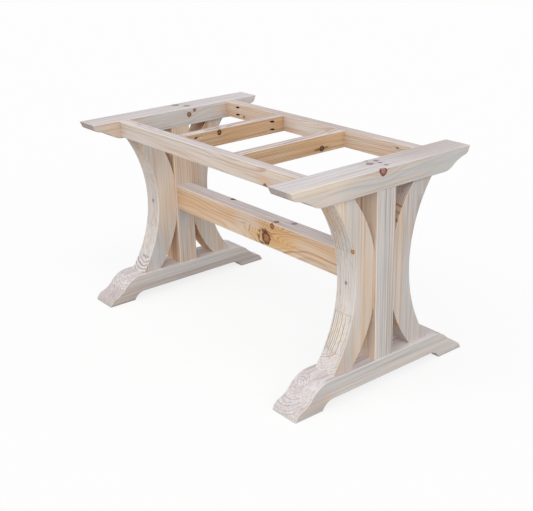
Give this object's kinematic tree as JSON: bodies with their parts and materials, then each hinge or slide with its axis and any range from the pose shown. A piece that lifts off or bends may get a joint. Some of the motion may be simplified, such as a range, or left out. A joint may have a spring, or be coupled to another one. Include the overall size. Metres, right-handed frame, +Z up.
{
  "type": "trestle table base",
  "caption": "Unfinished pine trestle table base: curved legs back to back on posts, ogee feet and headers, a stretcher and a screwed top frame.",
  "frame": {"origin": "on the floor, midway between the trestles and between the ends of the feet", "axes": "+X from the left trestle to the right one, along the stretcher; +Y along the feet, to the rear; +Z up"},
  "size_m": [1.227, 0.755, 0.724],
  "materials": {
    "pine": "sanded bare pine",
    "tenon_wood": "plain",
    "screw_steel": "zinc plated"
  },
  "bodies": {
    "root": {"left_foot": "pine", "right_foot": "pine", "left_header": "pine", "right_header": "pine", "left_post": "pine", "right_post": "pine", "left_front_leg": "pine", "left_rear_leg": "pine", "right_front_leg": "pine", "right_rear_leg": "pine", "stretcher": "pine", "front_rail": "pine", "rear_rail": "pine", "left_cross_rail": "pine", "right_cross_rail": "pine", "left_foot_loose_tenons": "tenon_wood", "left_header_loose_tenons": "tenon_wood", "right_foot_loose_tenons": "tenon_wood", "right_header_loose_tenons": "tenon_wood", "rail_screws": "screw_steel", "cross_rail_screws": "screw_steel"}
  },
  "joints": []
}
